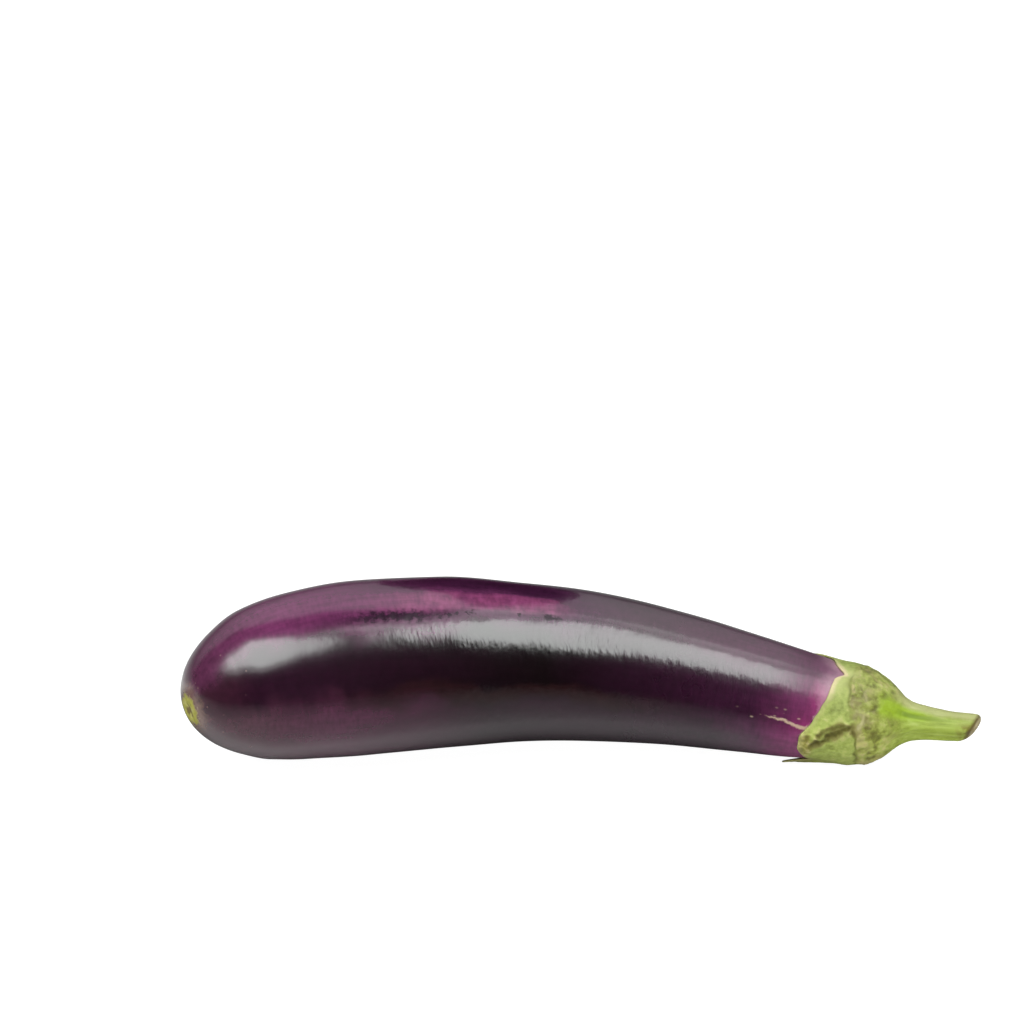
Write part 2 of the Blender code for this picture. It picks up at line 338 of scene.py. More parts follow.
def line_distance(along, around, line):
    """Millimetres over the skin to a line through (along, degrees around) points."""
    middle = line[len(line) // 2][1]
    arc = np.radians(angle_between(around, middle)) * SKIN_REACH
    nearest = np.full(len(along), 1e3)
    for (a0, d0), (a1, d1) in zip(line, line[1:]):
        s0 = math.radians(d0 - middle) * SKIN_REACH
        s1 = math.radians(d1 - middle) * SKIN_REACH
        length = (a1 - a0) ** 2 + (s1 - s0) ** 2
        share = np.clip(((along - a0) * (a1 - a0) + (arc - s0) * (s1 - s0)) / length, 0, 1)
        gap = np.hypot(along - a0 - share * (a1 - a0), arc - s0 - share * (s1 - s0))
        nearest = np.minimum(nearest, gap)
    return nearest


def calyx_lines(places, along, around):
    """Millimetres past the step, the folds' relief, and how far into a fold each place is, from 0 to 1."""
    along = along + WANDER[0] * lumps(places, WANDER[1])
    around = around + WANDER[0] / SKIN_REACH * lumps(places + WANDER[2], WANDER[1])
    past_step = along - round_the_fruit(STEP_LINE, around)
    relief = np.zeros(len(along))
    folded = np.zeros(len(along))
    for line, depth, half_width in FOLDS:
        gap = line_distance(along, around, line) / half_width
        lips = FOLD_LIPS[0] * np.exp(-((gap - FOLD_LIPS[1]) ** 2))
        relief = relief + depth * (lips - np.exp(-(gap**2)))
        browning = min(1, depth / FOLD_STAIN[0])
        folded = np.maximum(folded, browning * np.exp(-((gap / FOLD_STAIN[1]) ** 2)))
    place, turned, depth, reach, browning = DIMPLE
    gap = np.hypot(along - place, np.radians(angle_between(around, turned)) * SKIN_REACH) / reach
    relief = relief - depth * np.exp(-(gap**2))
    folded = np.maximum(folded, browning * np.exp(-(gap**2)))
    return past_step, relief, folded


def small_relief(places, along, around, from_edge, lines):
    """The calyx's puckers, wrinkles, fibres, creases, folds and step, as a change of its radius."""
    past_step, relief, folded = lines
    cup = eased((past_step - CUP_FROM) / CUP_OVER)
    stalk = eased((along - RIBS_FROM) / RIBS_OVER)
    flesh = 1 - stalk
    band = eased(past_step / BAND[0]) * eased((BAND[1] - past_step) / BAND[2])
    for (height, length_along, length_round, part), share in (
        (PUCKERS, (LOBE_PUCKERS + (1 - LOBE_PUCKERS) * cup) * (flesh + STALK_PUCKERS * stalk)),
        (PIMPLES, flesh + STALK_PIMPLES * stalk),
        (CUP_WRINKLES, cup * flesh),
        (BAND_WRINKLES, band),
        (STALK_FIBRES, stalk),
        (FOLD_GRIT, folded),
    ):
        relief = relief + height * share * lumps(places + part, length_along, length_round)
    net = np.exp(-((lumps(places + CREASES[3], CREASES[1]) / CREASES[2]) ** 2))
    relief = relief - CREASES[0] * net * cup * flesh
    ridge = STEP_RIDGE[0] * np.exp(-(((past_step - STEP_RIDGE[2]) / STEP_RIDGE[1]) ** 2))
    groove = STEP_GROOVE[0] * np.exp(-((past_step / STEP_GROOVE[1]) ** 2))
    length, part, mean, least, most = STEP_BREAKS
    uneven = np.clip(mean + lumps(places + part, length), least, most)
    relief = relief + (ridge - groove) * uneven * round_the_fruit(STEP_STRENGTH, around)
    return relief * eased(from_edge / EDGE_CALM)


def calyx_outer(along, around, edge):
    """The radius of the calyx's outer skin, and of the stalk's, without its small relief."""
    thin = fruit_radius(np.minimum(along, FRUIT_LENGTH)) + GAP + EDGE_WALL
    full = smooth_curve(CALYX_RADIUS, along) * ribbed(along, around)
    full = np.where(along < RIBS_FROM, np.maximum(full, thin), full)
    full = full + swellings(CALYX_SWELLINGS, along, around)
    inward = eased((along - edge) / EDGE_TAPER)
    roll = ROLL_HEIGHT * front_roll(along, around)
    return thin + (full - thin) * inward + tip_lift(along, around) + roll


def cut_slant(along, radius, around):
    """How far the oblique cut moves a point of the stalk's end along the axis."""
    near_end = eased((along - STALK_END + SLANT_FROM) / SLANT_OVER)
    return radius * (CUT_SLANT[0] * np.cos(around) + CUT_SLANT[1] * np.sin(around)) * near_end


def calyx_shape(row, around):
    """The calyx and stalk as one skin: down the inside, over the edge, and up the outside to the cut."""
    edge = calyx_edge(around)
    rim_row = INNER_ROWS + RIM_ROWS
    neck_row = rim_row + OUTER_ROWS
    end_row = neck_row + STALK_ROWS

    inner_along, inner_radius = calyx_inner(np.clip(row / INNER_ROWS, 0, 1), around, edge)
    cup_along = edge + (NECK_ALONG - edge) * np.clip((row - rim_row) / OUTER_ROWS, 0, 1)
    stalk_share = np.clip((row - neck_row) / STALK_ROWS, 0, 1)
    stalk_along = NECK_ALONG + (STALK_END - CUT_ROUND - NECK_ALONG) * stalk_share
    end_turn = np.clip((row - end_row) / END_ROWS, 0, 1) * math.pi / 2
    end_along = stalk_along + CUT_ROUND * np.sin(end_turn)

    outer_along = np.where(row <= neck_row, cup_along, np.where(row <= end_row, stalk_along, end_along))
    outer_radius = calyx_outer(outer_along, around, edge)
    places = straightened(outer_along, outer_radius, around)
    lines = calyx_lines(places, outer_along, around)
    relief = small_relief(places, outer_along, around, outer_along - edge, lines)
    face = np.clip(np.cos(end_turn), 0, 1) ** CUT_BLUNT
    outer_radius = (outer_radius + relief) * face
    outer_along = outer_along + cut_slant(outer_along, outer_radius, around)

    inside = row <= INNER_ROWS
    rim = (row > INNER_ROWS) & (row < rim_row)
    rim_turn = np.clip((row - INNER_ROWS) / RIM_ROWS, 0, 1) * math.pi
    rim_share = (1 - np.cos(rim_turn)) / 2
    rim_radius = inner_radius + (calyx_outer(edge, around, edge) - inner_radius) * rim_share
    along = np.where(inside, inner_along, outer_along)
    radius = np.where(inside, inner_radius, outer_radius)
    along = np.where(rim, edge - RIM_OUT * np.sin(rim_turn), along)
    radius = np.where(rim, rim_radius, radius)
    lowest = np.where(inside, FLOOR_WALL, np.where(rim, FLOOR_WALL * (1 - rim_share), 0))

    marks = {
        "from_edge": np.where(inside, 0, along - edge),
        "past_step": np.where(inside, OFF_STEP, lines[0]),
        "step": np.exp(-((lines[0] / STEP_STAIN) ** 2)) * round_the_fruit(STEP_STRENGTH, around),
        "fold": lines[2],
        "relief": np.where(inside, 0, relief),
        "roll": front_roll(along, around),
        "face": 1 - face,
    }
    return along, radius, lowest, marks


def rolled_sphere(rows, columns):
    """A closed sphere of radius 1: a grid rolled up, and welded along its seam and at its two poles."""
    shell = bmesh.new()
    bmesh.ops.create_grid(shell, x_segments=columns, y_segments=rows, size=1)
    for corner in shell.verts:
        turn = corner.co.x * math.pi
        tilt = corner.co.y * math.pi / 2
        level = math.cos(tilt)
        corner.co = (math.cos(turn) * level, math.sin(turn) * level, math.sin(tilt))
    border = [corner for corner in shell.verts if corner.is_boundary]
    bmesh.ops.remove_doubles(shell, verts=border, dist=1e-6)
    return shell


def grown_skin(name, rows, columns, shape):
    """A closed mesh: a sphere whose corners move to where shape(row, around) says, and keep its marks.

    Its attribute grown holds each corner's straightened place, for patterns that follow the skin.
    """
    shell = rolled_sphere(rows, columns)
    corners = np.array([corner.co for corner in shell.verts], dtype=float)
    row = np.rint(np.arccos(np.clip(corners[:, 2], -1, 1)) / math.pi * rows)
    around = np.arctan2(corners[:, 1], corners[:, 0])
    along, radius, lowest, marks = shape(row, around)
    for corner, point in zip(shell.verts, skin_points(along, radius, around, lowest)):
        corner.co = point
    mesh = bpy.data.meshes.new(name)
    shell.to_mesh(mesh)
    shell.free()
    grown = mesh.attributes.new("grown", "FLOAT_VECTOR", "POINT")
    grown.data.foreach_set("vector", straightened(along, radius, around).ravel())
    for mark, values in marks.items():
        mesh.attributes.new(mark, "FLOAT", "POINT").data.foreach_set("value", values)
    mesh.shade_smooth()
    return mesh


# ---- finishes


def linear_colour(code):
    """A screen colour in hexadecimal as the linear values that a shader takes."""
    channels = [int(code[i : i + 2], 16) / 255 for i in (0, 2, 4)]
    return [c / 12.92 if c <= 0.04045 else ((c + 0.055) / 1.055) ** 2.4 for c in channels] + [1]


def set_constant(socket, value):
    """Give a socket its value, where a colour may be in hexadecimal."""
    socket.default_value = linear_colour(value) if isinstance(value, str) else value


# The setting that a second word in a node's kind names
MODES = {"Math": "operation", "VectorMath": "operation", "Mix": "data_type"}


def add_node(tree, kind, *feeds, sockets=None, stops=None, **settings):
    """A shader node with its settings, fed with values, nodes or sockets.

    Feeds go to its shown inputs in their order, and sockets feeds inputs by name. Stops are the (place,
    colour) of a colour ramp, with colours in hexadecimal.
    """
    kind, *mode = kind.split()
    node = tree.nodes.new("ShaderNode" + kind)
    if mode:
        setattr(node, MODES[kind], mode[0])
    for name, value in settings.items():
        setattr(node, name, value)
    shown = [socket for socket in node.inputs if socket.enabled]
    pairs = list(zip(shown, feeds))
    pairs += [(node.inputs[name], feed) for name, feed in (sockets or {}).items()]
    for socket, feed in pairs:
        if isinstance(feed, bpy.types.Node):
            feed = next(out for out in feed.outputs if out.enabled)
        if isinstance(feed, bpy.types.NodeSocket):
            tree.links.new(feed, socket)
        else:
            set_constant(socket, feed)
    if stops:
        ramp = node.color_ramp.elements
        while len(ramp) < len(stops):
            ramp.new(1)
        for element, (place, colour) in zip(ramp, stops):
            element.position = place
            element.color = linear_colour(colour)
    return node


SMOOTH = {"interpolation_type": "SMOOTHSTEP"}  # for a ramp that is eased at both its ends


def new_material(name, **constants):
    """A Principled material, its node tree and its shader, on whose own sockets the constants are set."""
    material = bpy.data.materials.new(name)
    material.use_nodes = True
    tree = material.node_tree
    shader = tree.nodes["Principled BSDF"]
    for socket, value in constants.items():
        set_constant(shader.inputs[socket.replace("_", " ")], value)
    return material, tree, shader


def skin_places(node):
    """What a skin's patterns follow: its straightened place, along, height over the axis, and degrees."""
    grown = node("Attribute", attribute_name="grown").outputs["Vector"]
    along, front, up = node("SeparateXYZ", grown).outputs
    turn = node("Math ARCTAN2", up, front)
    return grown, along, up, node("Math DEGREES", turn)


def strip(node, place, middle, full, none, most=1, least=0, ramp="SMOOTHSTEP"):
    """A cover: most up to full from the middle, falling to least at none from it."""
    aside = node("Math SUBTRACT", place, middle)
    aside = node("Math ABSOLUTE", aside)
    return node("MapRange", aside, full, none, most, least, interpolation_type=ramp)


def stretch(node, place, none, full, fade, gone, ramp="SMOOTHSTEP"):
    """A cover: nothing before none, 1 from full to fade, and nothing past gone."""
    begun = node("MapRange", place, none, full, interpolation_type=ramp)
    ended = node("MapRange", place, fade, gone, 1, 0, interpolation_type=ramp)
    return node("Math MULTIPLY", begun, ended)


def varied(node, cover, guide, low, high, at_low, at_high, **ramp):
    """A cover times a share, which is at_low where the guide is low and at_high where it is high."""
    share = node("MapRange", guide, low, high, at_low, at_high, **ramp)
    return node("Math MULTIPLY", cover, share)


def scattered(node, place, size, full, none, most, chance):
    """Dots, one in each cell of a size, of which only a share shows."""
    cells = node("TexVoronoi", place, 1 / size)
    dots = node("MapRange", cells.outputs["Distance"], full, none, most, 0)
    luck = node("SeparateXYZ", cells.outputs["Color"]).outputs[0]
    seen = node("Math LESS_THAN", luck, chance)
    return node("Math MULTIPLY", dots, seen)


def finish_with(tree, shader, **sources):
    """Feed the shader's sockets from nodes."""
    for socket, source in sources.items():
        shown = next(out for out in source.outputs if out.enabled)
        tree.links.new(shown, shader.inputs[socket.replace("_", " ")])


# (share of FRUIT_COLOURED, colour) along the fruit. The front is rosy at the blossom end, nearly black over
# most of its length, and magenta by the calyx. Belly and top are lighter.
FRUIT_COLOURED = 205
SUNNY = (
    (0, "3A1A28"), (0.08, "230B1B"), (0.5, "0B0406"), (0.8, "2B0822"), (0.855, "551340"),
    (0.885, "80205A"), (0.93, "863A68"),
)
BELLY = (
    (0, "442531"), (0.2, "4B1F39"), (0.41, "250F1C"), (0.74, "2C1324"), (0.8, "4A1C3D"),
    (0.86, "7E3663"), (0.93, "864472"),
)
TOPSIDE = (
    (0, "4C253C"), (0.12, "62284F"), (0.52, "3E1936"), (0.63, "3B2432"), (0.86, "471D39"),
    (0.93, "6B3B59"),
)


def sun_and_shade(node, along, degrees, drift, share):
    """Colours of the sunny front, a rusty line below it, the shaded belly, and the top and back."""
    sway = node("Math MULTIPLY_ADD", drift, 36, degrees)
    angle = node("Math WRAP", sway, 270, -90)
    sunny, belly, topside = [node("ValToRGB", share, stops=stops) for stops in (SUNNY, BELLY, TOPSIDE)]
    lowered = node("MapRange", along, 20, 70, -7, 0)
    lowered = node("Math ADD", angle, lowered)
    downwards = node("MapRange", lowered, 22, -2, **SMOOTH)
    colour = node("Mix RGBA", downwards, sunny, belly)
    rust = strip(node, angle, 15, 2, 10, 0.65)
    rusty = stretch(node, along, 30, 60, 120, 150, ramp="LINEAR")
    rust = node("Math MULTIPLY", rust, rusty)
    colour = node("Mix RGBA", rust, colour, "230F10")
    shade = stretch(node, angle, 52, 76, 205, 250)
    return node("Mix RGBA", shade, colour, topside)


def painted_top_reflections(node, grown, along, strayed, ragged, share):
    """Covers of strips on top, all painted reflections: a rosy one in blotches of 5 mm, a dark one above
    it, and below it a narrow ragged dark one, which breaks up into dashes towards the calyx.
    """
    blotches = node("TexNoise", grown, 1 / 5, 3, 0.6)
    on_middle = stretch(node, share, 0.22, 0.36, 0.5, 0.55)
    rosy = strip(node, strayed, 83, 5, 11)
    rosy = node("Math MULTIPLY", rosy, on_middle)
    rosy = varied(node, rosy, blotches, 0.36, 0.6, 0.35, 0.95)
    centre = node("MapRange", along, 92, 114, 104, 94)
    painted_dark_top_reflection = strip(node, strayed, centre, 4, 10, 0.8)
    painted_dark_top_reflection = node("Math MULTIPLY", painted_dark_top_reflection, on_middle)
    half_width = node("MapRange", along, 66, 84, 6, 3.4)
    painted_dark_line_reflection = strip(node, ragged, 72, 0.6, half_width, 0.95)
    lengthwise = stretch(node, share, 0.16, 0.28, 0.52, 0.57)
    whole = node("MapRange", share, 0.33, 0.4, 1, 0)
    dashes = node("MapRange", blotches, 0.47, 0.56)
    dashes = node("Math MAXIMUM", dashes, whole)
    for cover in (lengthwise, dashes):
        painted_dark_line_reflection = node("Math MULTIPLY", painted_dark_line_reflection, cover)
    return rosy, painted_dark_top_reflection, painted_dark_line_reflection


def blossom_scar(node, grown, along, grit_step):
    """Covers of the blossom scar: a brownish halo, a ring 9 mm across, and a dot."""
    reach = node("VectorMath MULTIPLY", grown, (0, 1, 1))
    reach = node("VectorMath LENGTH", reach)
    reach = node("Math MULTIPLY_ADD", grit_step, 6, reach)
    covers = []
    for full, none, most in ((5, 9, 0.55), (3.4, 5.2, 0.95), (1, 1.9, 0.9)):
        cover = node("MapRange", reach, full, none, most, 0, **SMOOTH)
        covers.append(varied(node, cover, along, 10, 14, 1, 0))
    return covers


def kept_from_sun(node, degrees, to_calyx, grit_step):
    """Covers of skin that the calyx kept from the sun, widest on top: a pink strip, partly a painted sheen,
    and a tan line.
    """
    border = node("Math MULTIPLY_ADD", grit_step, 2.6, to_calyx)
    reach = node("MapRange", degrees, 30, 60, 1, 6, **SMOOTH)
    blush_and_painted_sheen = node("Math DIVIDE", border, reach)
    blush_and_painted_sheen = node("MapRange", blush_and_painted_sheen, -0.2, 1, 0.75, 0, **SMOOTH)
    pale = node("MapRange", border, -0.3, 0.7, 0.85, 0, **SMOOTH)
    return blush_and_painted_sheen, varied(node, pale, degrees, 30, 66, 0.3, 1, **SMOOTH)


def healed_scratch(node, grown, along, degrees, grit_step):
    """Cover of cork: a line that widens to 1 mm as it runs under the front lobe, and nicks beside it."""
    bend = node("MapRange", along, 172, 177, 0, -6)
    centre = node("MapRange", along, 166, 172, 20.5, 19)
    centre = node("Math ADD", bend, centre)
    wobble = node("Math MULTIPLY_ADD", grit_step, 5, degrees)
    aside = node("Math SUBTRACT", wobble, centre)
    aside = node("Math ABSOLUTE", aside)
    half_width = node("MapRange", along, 166.5, 176, 0.1, 1.8)
    scratch = node("Math SUBTRACT", half_width, aside)
    scratch = node("MapRange", scratch, -1.3, 1.1, 0, 0.75, **SMOOTH)
    scratch = varied(node, scratch, along, 166.5, 168, 0, 1)
    lengthened = node("VectorMath MULTIPLY", grown, (1 / 2.2, 1 / 1.2, 1 / 1.2))
    nicks = scattered(node, lengthened, 1, 0.04, 0.3, 0.5, 0.3)
    beside = strip(node, degrees, 22, 6, 12, ramp="LINEAR")
    nicks = node("Math MULTIPLY", nicks, beside)
    nicks = varied(node, nicks, along, 158, 163, 0, 1)
    return node("Math MAXIMUM", scratch, nicks)


def waxed_skin():
    """Eggplant skin: a dark purple cell layer under a thin clear wax, as it grows, never polished.

    The eye gets a deep, nearly black body, a satin highlight with a combed lower edge from fine ripples
    that run round the fruit, and a warmer magenta where less sun reached: on top, and by the calyx.
    """
    material, tree, shader = new_material("waxed_eggplant_skin", IOR=1.5, Coat_IOR=1.5, Coat_Roughness=0.14)
    node = partial(add_node, tree)
    grown, along, _, degrees = skin_places(node)
    to_calyx = node("Attribute", attribute_name="to_calyx").outputs["Fac"]

    # Clouds 14 mm long make every border between two colours wander, and grit of 1.6 mm makes it ragged.
    clouds = node("TexNoise", grown, 1 / 14, 3, 0.55)
    grit = node("TexNoise", grown, 1 / 1.6, 3, 0.6)
    drift, grit_step = [node("Math SUBTRACT", pattern, 0.5) for pattern in (clouds, grit)]
    strayed = node("Math MULTIPLY_ADD", drift, 12, degrees)
    ragged = node("Math MULTIPLY_ADD", grit_step, 14, strayed)
    share = node("Math MULTIPLY_ADD", drift, 12, along)
    share = node("Math DIVIDE", share, FRUIT_COLOURED)
    colour = sun_and_shade(node, along, degrees, drift, share)
    rosy, painted_dark_top_reflection, painted_dark_line_reflection = painted_top_reflections(node, grown, along, strayed, ragged, share)
    # Paint the strips on top, which are painted reflections: a rosy one and two dark ones.
    for cover, paint in ((rosy, "78365C"), (painted_dark_top_reflection, "2C0B26"), (painted_dark_line_reflection, "1C0018")):
        colour = node("Mix RGBA", cover, colour, paint)

    # Ripples run round the fruit: 1.1 mm from one to the next, and 3 mm long. Growth streaks run along it,
    # 1.4 mm from one to the next, and 24 mm long.
    combed = node("VectorMath MULTIPLY", grown, (1 / 1.1, 1 / 3, 1 / 3))
    ripples = node("TexNoise", combed, 1, 2, 0.5)
    drawn = node("VectorMath MULTIPLY", grown, (1 / 24, 1 / 1.4, 1 / 1.4))
    streaks = node("TexNoise", drawn, 1, 3, 0.6)
    tint = node("Math ADD", ripples, streaks)
    tint = node("MapRange", tint, 0.7, 1.3, 0.76, 1.26)
    colour = node("VectorMath SCALE", colour, sockets={"Scale": tint})

    # The scar is yellow-green with a tan dot, and round it lie breathing pores, pale dots 0.3 mm across and
    # 2.4 mm apart. By the calyx the skin is pink and tan, the pink partly a painted sheen, and a healed
    # scratch is cream.
    halo, ring, dot = blossom_scar(node, grown, along, grit_step)
    scar = node("ValToRGB", grit, stops=((0.3, "8E8A3C"), (0.5, "B4B04E"), (0.7, "C9C47E")))
    chance = node("MapRange", along, 4, 16, 0.6, 0)
    pores = scattered(node, grown, 2.4, 0.07, 0.12, 0.3, chance)
    blush_and_painted_sheen, pale = kept_from_sun(node, degrees, to_calyx, grit_step)
    cork = healed_scratch(node, grown, along, degrees, grit_step)
    marks = (
        (halo, "8A6A58"), (ring, scar), (dot, "6E5A3A"), (pores, "A98D80"),
        (blush_and_painted_sheen, "9C7686"), (pale, "B09C80"), (cork, "C4AC90"),
    )
    for cover, paint in marks:
        colour = node("Mix RGBA", cover, colour, paint)

    # The wax is duller towards the calyx, thin on the narrow strip painted as a dark reflection, and gone
    # from cork and from skin that the calyx covered.
    gloss = node("MapRange", clouds, 0.3, 0.7, 0.2, 0.26)
    matt = node("MapRange", along, 115, 182, 0, 0.12)
    dull = node("Math ADD", gloss, matt)
    unwaxed = cork
    for cover in (pale, ring):
        unwaxed = node("Math MAXIMUM", unwaxed, cover)
    dull = node("Mix FLOAT", unwaxed, dull, 0.6)
    bare = node("MapRange", to_calyx, 5, 18, 0.75, 0, **SMOOTH)
    dull = node("Mix FLOAT", bare, dull, 0.5)
    for cover in (bare, painted_dark_line_reflection):
        unwaxed = node("Math MAXIMUM", unwaxed, cover)
    waxed = node("Math SUBTRACT", 1, unwaxed)

    # Heights in millimetres: ripples past the smooth blossom end, which fade towards the top, a broader
    # unevenness, and raised cork.
    rippled = node("MapRange", along, 44, 84, 0.01, 0.09, **SMOOTH)
    rippled = varied(node, rippled, degrees, 60, 70, 1, 0.2, **SMOOTH)
    height = node("Math MULTIPLY", ripples, rippled)
    broad = node("TexNoise", grown, 1 / 6.5, 2, 0.5)
    lumpy = node("MapRange", along, 25, 60, 0.04, 0.13, **SMOOTH)
    height = node("Math MULTIPLY_ADD", broad, lumpy, height)
    height = node("Math MULTIPLY_ADD", cork, 0.05, height)
    bump = node("Bump", sockets={"Strength": 1, "Distance": MM, "Height": height})
    finish_with(tree, shader, Base_Color=colour, Roughness=dull, Coat_Weight=waxed)
    finish_with(tree, shader, Normal=bump, Coat_Normal=bump)
    return material


# Colours of the calyx's cup, lobes, rubbed band and dried tip, and of the stalk, from dark to light. On the
# cup and lobes, dark goes partly to the dips as painted shade and light to the crests as painted light.
CUP = ((0.31, "4F501C"), (0.41, "6C702E"), (0.49, "80883A"), (0.57, "929B4C"), (0.68, "A69F68"))
LOBES = ((0.31, "626A2C"), (0.42, "7B853E"), (0.5, "879348"), (0.58, "939C52"), (0.7, "A5A268"))
RUBBED = ((0.36, "5A5428"), (0.48, "766F42"), (0.58, "898458"), (0.68, "9A9468"))
DRIED = ((0.34, "6A6424"), (0.46, "938B44"), (0.56, "B0A564"), (0.68, "C6BC86"))
STALK = ((0.32, "727F2C"), (0.45, "849438"), (0.56, "8E9E45"), (0.7, "9CA65C"))


def cup_and_lobes(node, past_step, mottle_and_relief_shade, hue):
    """The cup, tanned in places, and the paler lobes."""
    cup = node("ValToRGB", mottle_and_relief_shade, stops=CUP)
    lobes = node("ValToRGB", mottle_and_relief_shade, stops=LOBES)
    tanned = node("MapRange", hue, 0.5, 0.66, 0, 0.6)
    cup = node("Mix RGBA", tanned, cup, "8E8550")
    on_cup = node("MapRange", past_step, -0.6, 0.8, **SMOOTH)
    return node("Mix RGBA", on_cup, lobes, cup)


def fresh_shoulder(node, along, degrees, mottle):
    """Cover of the bright green on the shoulder above the front, where the cup narrows."""
    edge = node("Math MULTIPLY_ADD", mottle, 5, along)
    lengthwise = stretch(node, edge, 198.5, 202, 208, 216)
    sideways = strip(node, degrees, 58, 8, 26, 0.95)
    return node("Math MULTIPLY", lengthwise, sideways)


def dark_groove(node, along, degrees):
    """Cover of the groove between the stalk's ribs, darkest where it leaves the cup."""
    groove = strip(node, degrees, RIB_GROOVE - 1, 3, 11, 0.75)
    groove = varied(node, groove, along, 201.5, 204.5, 0, 1)
    return varied(node, groove, along, 207, 219, 1, 0.15)


def scuffed_band(node, grown, degrees, past_step):
    """Cover of the brown scuffs on the raised band just past the step, most of all in front."""
    scuff = stretch(node, past_step, 0.1, 1, 3.5, 7.5)
    ahead = strip(node, degrees, 44, 20, 42, 1, 0.3)
    scuff = node("Math MULTIPLY", scuff, ahead)
    rubs = node("TexNoise", grown, 1 / 2.4, 2, 0.55, sockets={"Distortion": 0.6})
    return varied(node, scuff, rubs, 0.36, 0.56, 0.1, 0.9)


def edge_covers(node, degrees, from_edge, speckle):
    """Covers of the thin edge, strongest at the upper notch: a paler border and, within it, a cream rim."""
    ragged = node("Math MULTIPLY_ADD", speckle, 2.2, from_edge)
    covers = []
    for within, gone, most, (full, none), (middle, elsewhere) in (
        (1.5, 7.5, 0.9, (6, 34), (1, 0)),
        (1.1, 2.9, 1, (14, 38), (0.9, 0.2)),
    ):
        border = node("MapRange", ragged, within, gone, most, 0, **SMOOTH)
        shown = strip(node, degrees, 80, full, none, middle, elsewhere)
        covers.append(node("Math MULTIPLY", border, shown))
    return covers


def cut_end(node, along, degrees, face, mottle, patches, speckle):
    """Covers of the cut end: blotched stains below it, its dried brown rim, and its woody face."""
    stained = node("Math MULTIPLY_ADD", mottle, 8, along)
    stained = node("MapRange", stained, 221.5, 226, 0, 0.65, **SMOOTH)
    stained = varied(node, stained, degrees, 34, 56, 1, 0.1)
    stained = varied(node, stained, speckle, 0.4, 0.56, 0.45, 1.15)
    rim = node("MapRange", face, 0.03, 0.15, 0, 0.9)
    rim = varied(node, rim, patches, 0.4, 0.56, 0.35, 1)
    return stained, rim, node("MapRange", face, 0.2, 0.36)


